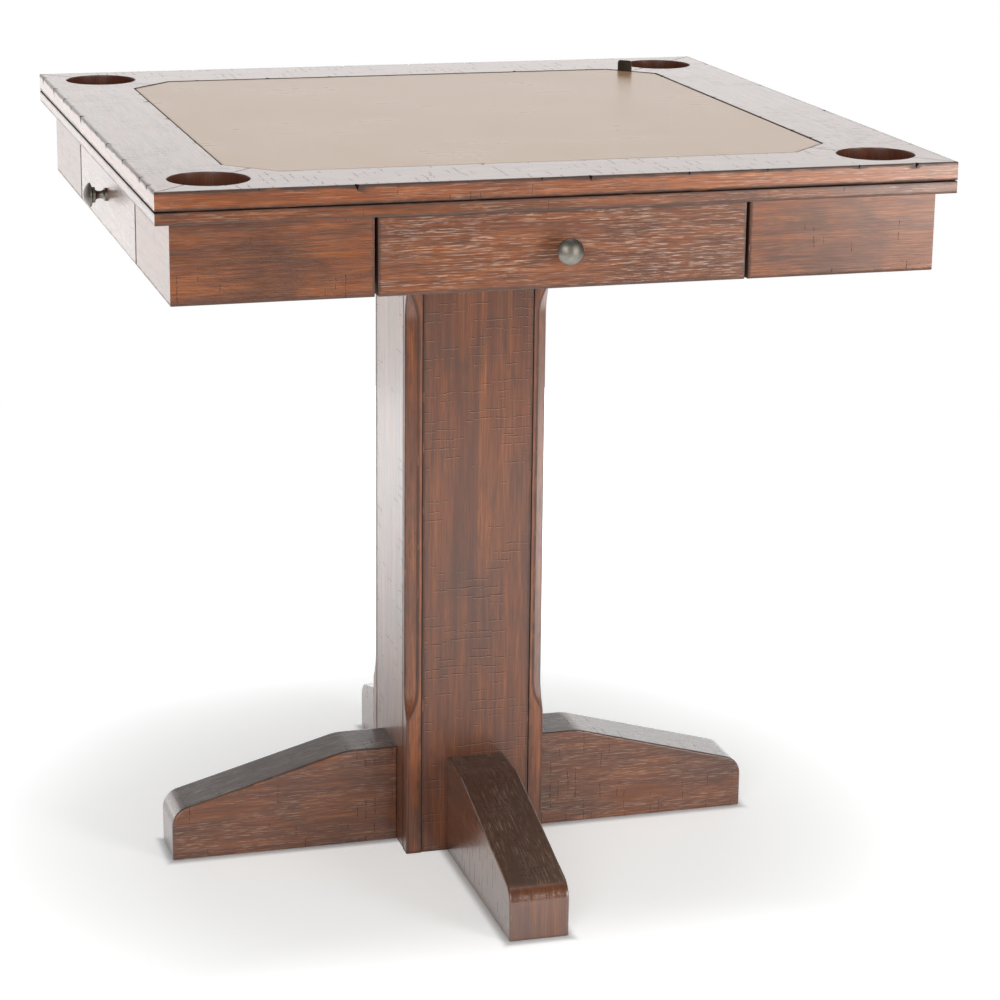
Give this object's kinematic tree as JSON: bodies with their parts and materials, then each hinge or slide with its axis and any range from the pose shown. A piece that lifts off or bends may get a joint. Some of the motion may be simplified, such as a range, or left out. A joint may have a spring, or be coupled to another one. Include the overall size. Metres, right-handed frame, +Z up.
{
  "type": "flip-top game table",
  "caption": "Square pedestal game table with a reversible lift-out playing insert, cup holes on the corner mitres, a drawer in each side and tapered cross legs.",
  "frame": {"origin": "on the floor under the middle of the table", "axes": "+Z up, -Y towards the front drawer, +X to the right of someone at the front"},
  "size_m": [0.934, 0.934, 0.949],
  "materials": {
    "stained_wood": "distressed chestnut stain, semi-gloss lacquer",
    "pale_wood": "bare planed wood",
    "plywood": "bare plywood",
    "playing_leather": "smooth satin tan leather",
    "strap_leather": "dark brown leather strap",
    "pewter": "aged pewter",
    "zinc_steel": "zinc plated",
    "glide_plastic": "moulded nylon"
  },
  "bodies": {
    "table": {"support_panel": "plywood", "cup_floors": "stained_wood", "drawer_runners": "pale_wood", "corner_blocks": "pale_wood", "mounting_plate": "plywood", "plate_screws": "zinc_steel", "leg_bolts": "zinc_steel", "leg_washers": "zinc_steel", "floor_glides": "glide_plastic", "top_rail_front": "stained_wood", "lower_rail_front": "stained_wood", "apron_front": "stained_wood", "guide_board_front": "pale_wood", "column_post_front_left": "stained_wood", "column_panel_front": "stained_wood", "leg_front": "stained_wood", "top_rail_right": "stained_wood", "lower_rail_right": "stained_wood", "apron_right": "stained_wood", "guide_board_right": "pale_wood", "column_post_front_right": "stained_wood", "column_panel_right": "stained_wood", "leg_right": "stained_wood", "top_rail_back": "stained_wood", "lower_rail_back": "stained_wood", "apron_back": "stained_wood", "guide_board_back": "pale_wood", "column_post_back_right": "stained_wood", "column_panel_back": "stained_wood", "leg_back": "stained_wood", "top_rail_left": "stained_wood", "lower_rail_left": "stained_wood", "apron_left": "stained_wood", "guide_board_left": "pale_wood", "column_post_back_left": "stained_wood", "column_panel_left": "stained_wood", "leg_left": "stained_wood"},
    "pull_tab": {"pull_tab": "strap_leather"},
    "insert": {"insert_board": "stained_wood", "playing_surface": "playing_leather"},
    "drawer_front": {"drawer_front_front": "stained_wood", "drawer_front_sides": "pale_wood", "drawer_front_back": "pale_wood", "drawer_front_bottom": "plywood", "drawer_front_knob": "pewter"},
    "drawer_right": {"drawer_right_front": "stained_wood", "drawer_right_sides": "pale_wood", "drawer_right_back": "pale_wood", "drawer_right_bottom": "plywood", "drawer_right_knob": "pewter"},
    "drawer_back": {"drawer_back_front": "stained_wood", "drawer_back_sides": "pale_wood", "drawer_back_back": "pale_wood", "drawer_back_bottom": "plywood", "drawer_back_knob": "pewter"},
    "drawer_left": {"drawer_left_front": "stained_wood", "drawer_left_sides": "pale_wood", "drawer_left_back": "pale_wood", "drawer_left_bottom": "plywood", "drawer_left_knob": "pewter"}
  },
  "joints": [
    {"name": "drawer_front_slide", "type": "slide", "parent": "table", "child": "drawer_front", "axis": [0, -1, 0], "range_m": [0, 0.15]},
    {"name": "drawer_right_slide", "type": "slide", "parent": "table", "child": "drawer_right", "axis": [1, 0, 0], "range_m": [0, 0.15]},
    {"name": "drawer_back_slide", "type": "slide", "parent": "table", "child": "drawer_back", "axis": [0, 1, 0], "range_m": [0, 0.15]},
    {"name": "drawer_left_slide", "type": "slide", "parent": "table", "child": "drawer_left", "axis": [-1, 0, 0], "range_m": [0, 0.15]},
    {"name": "insert_lift", "type": "slide", "parent": "table", "child": "pull_tab", "axis": [0, 0, 1], "range_m": [0, 0.12]},
    {"name": "insert_flip", "type": "hinge", "parent": "pull_tab", "child": "insert", "pos_m": [-0.3538, 0, 0.935], "axis": [0, -1, 0], "range_deg": [0, 180]}
  ]
}
